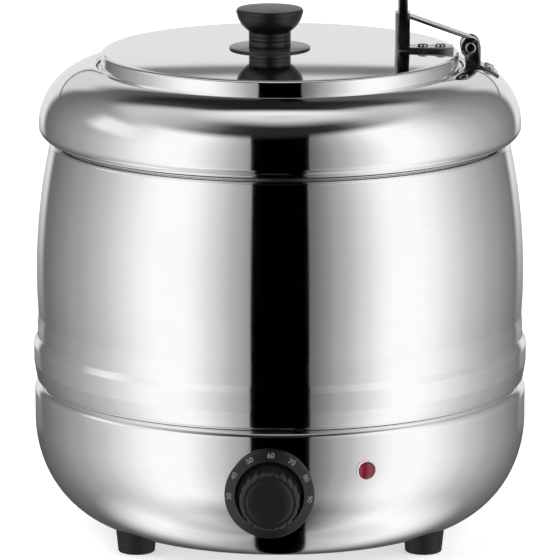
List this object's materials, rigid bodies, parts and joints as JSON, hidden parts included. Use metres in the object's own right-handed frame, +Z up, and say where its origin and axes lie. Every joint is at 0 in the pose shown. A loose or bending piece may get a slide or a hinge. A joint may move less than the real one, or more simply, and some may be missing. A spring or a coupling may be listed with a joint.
{
  "type": "soup kettle",
  "caption": "Round electric soup kettle: bulging polished steel shell, lift-out pot in a water pan, loose collar with a hinged lid, front thermostat knob and red pilot lamp.",
  "frame": {"origin": "on the table under the kettle's axis, at the middle of the box around the whole kettle", "axes": "+Z up along the kettle's axis, -Y out of the thermostat knob, +X towards the lid's hinge"},
  "size_m": [0.3409, 0.391, 0.379],
  "materials": {
    "polished_steel": "mirror polished stainless steel",
    "satin_steel": "satin stainless steel",
    "hinge_steel": "polished pressed stainless steel",
    "plated_steel": "bright zinc plate",
    "black_rubber": "matt moulded rubber",
    "black_plastic": "semi-gloss black moulding",
    "red_lens": "dark red clear lens",
    "pale_plastic": "pale moulded plastic",
    "thermostat_casing": "glazed switch casing",
    "element_sheath": "heat-darkened sheath",
    "copper_tube": "drawn copper",
    "brown_lead": "brown insulated lead",
    "blue_lead": "blue insulated lead",
    "earth_lead": "green-yellow insulated lead",
    "brass": "turned brass"
  },
  "bodies": {
    "kettle": {"barrel_shell": "polished_steel", "base_plate": "plated_steel", "base_screws": "plated_steel", "bulb_strap": "plated_steel", "capillary_tube": "copper_tube", "clamp_bars": "plated_steel", "clamp_screws": "plated_steel", "cutout_bracket": "plated_steel", "earth_bolt": "plated_steel", "earth_nuts": "plated_steel", "foot_front_left": "black_rubber", "foot_front_right": "black_rubber", "foot_nuts": "plated_steel", "foot_rear": "black_rubber", "foot_screws": "plated_steel", "gland_body": "black_plastic", "gland_cap": "black_plastic", "gland_nut": "black_plastic", "heating_element": "element_sheath", "lamp_bezel": "pale_plastic", "lamp_lens": "red_lens", "lamp_nut": "black_plastic", "lead_earth": "earth_lead", "lead_element": "brown_lead", "lead_lamp": "brown_lead", "lead_lamp_neutral": "blue_lead", "lead_neutral": "blue_lead", "lead_supply": "brown_lead", "lead_switched": "brown_lead", "lower_bowl": "polished_steel", "strap_screws": "plated_steel", "terminal_block": "pale_plastic", "thermal_cutout": "thermostat_casing", "thermostat_body": "thermostat_casing", "thermostat_bracket": "plated_steel", "thermostat_bulb": "copper_tube", "thermostat_screws": "plated_steel", "tie_nuts": "plated_steel", "tie_rods": "plated_steel", "water_pan": "satin_steel"},
    "pot": {"inner_pot": "satin_steel"},
    "collar": {"collar": "polished_steel", "hinge_bracket": "hinge_steel", "bracket_rivets": "hinge_steel", "hinge_pin": "hinge_steel"},
    "lid": {"lid": "polished_steel", "lid_knob": "black_plastic", "knob_flange": "black_plastic", "knob_insert": "brass", "knob_washer": "plated_steel", "knob_screw": "plated_steel", "hinge_arm": "hinge_steel", "arm_rivets": "hinge_steel"},
    "knob": {"thermostat_knob": "black_plastic", "thermostat_spindle": "plated_steel"}
  },
  "joints": [
    {"name": "pot_lift", "type": "slide", "parent": "kettle", "child": "pot", "axis": [0, 0, 1], "range_m": [0, 0.26]},
    {"name": "collar_lift", "type": "slide", "parent": "pot", "child": "collar", "axis": [0, 0, 1], "range_m": [0, 0.1]},
    {"name": "lid_hinge", "type": "hinge", "parent": "collar", "child": "lid", "pos_m": [0.1305, 0, 0.343], "axis": [0, 1, 0], "range_deg": [0, 100]},
    {"name": "thermostat_turn", "type": "hinge", "parent": "kettle", "child": "knob", "pos_m": [-0.007, -0.1715, 0.0695], "axis": [0, 1, 0], "range_deg": [0, 270]}
  ]
}
